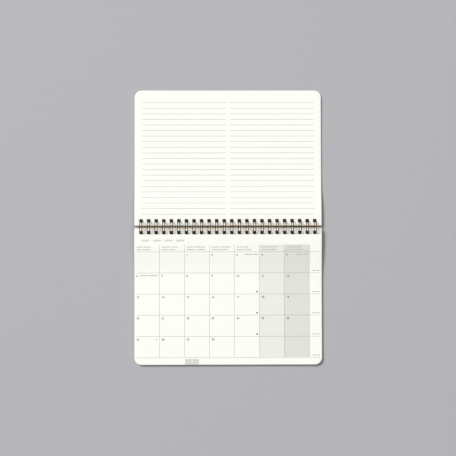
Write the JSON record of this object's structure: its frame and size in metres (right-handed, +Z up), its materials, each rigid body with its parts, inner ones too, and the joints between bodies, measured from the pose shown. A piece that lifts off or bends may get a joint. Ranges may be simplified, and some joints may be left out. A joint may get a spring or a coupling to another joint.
{
  "type": "desk calendar",
  "caption": "Wire-bound desk calendar lying open flat, with a lined notes page on one side of the rings and a month grid on the other, between two card covers.",
  "frame": {"origin": "on the desk under the middle of the binding, which is the middle of the part's underside", "axes": "+X along the binding, +Y towards the turned leaves with the lined page, +Z up from the desk"},
  "size_m": [0.21, 0.3082, 0.0143],
  "materials": {
    "leaf_paper": "uncoated cream paper",
    "cover_card": "dark grey card, fine grain",
    "binding_wire": "dark bronze coating, satin"
  },
  "bodies": {
    "binding": {"twin_loop_wire": "binding_wire"},
    "front_cover": {"front_cover": "cover_card"},
    "turned_leaves": {"turned_leaves": "leaf_paper"},
    "back_cover": {"back_cover": "cover_card"},
    "remaining_leaves": {"remaining_leaves": "leaf_paper"}
  },
  "joints": [
    {"name": "front_cover_turn", "type": "hinge", "parent": "binding", "child": "front_cover", "pos_m": [0, 0, 0.00705], "axis": [1, 0, 0], "range_deg": [0, 181]},
    {"name": "turned_leaves_turn", "type": "hinge", "parent": "front_cover", "child": "turned_leaves", "pos_m": [0, 0, 0.00705], "axis": [1, 0, 0], "range_deg": [0, 180]},
    {"name": "back_cover_turn", "type": "hinge", "parent": "binding", "child": "back_cover", "pos_m": [0, 0, 0.00705], "axis": [-1, 0, 0], "range_deg": [0, 181]},
    {"name": "remaining_leaves_turn", "type": "hinge", "parent": "back_cover", "child": "remaining_leaves", "pos_m": [0, 0, 0.00705], "axis": [-1, 0, 0], "range_deg": [0, 180]}
  ]
}
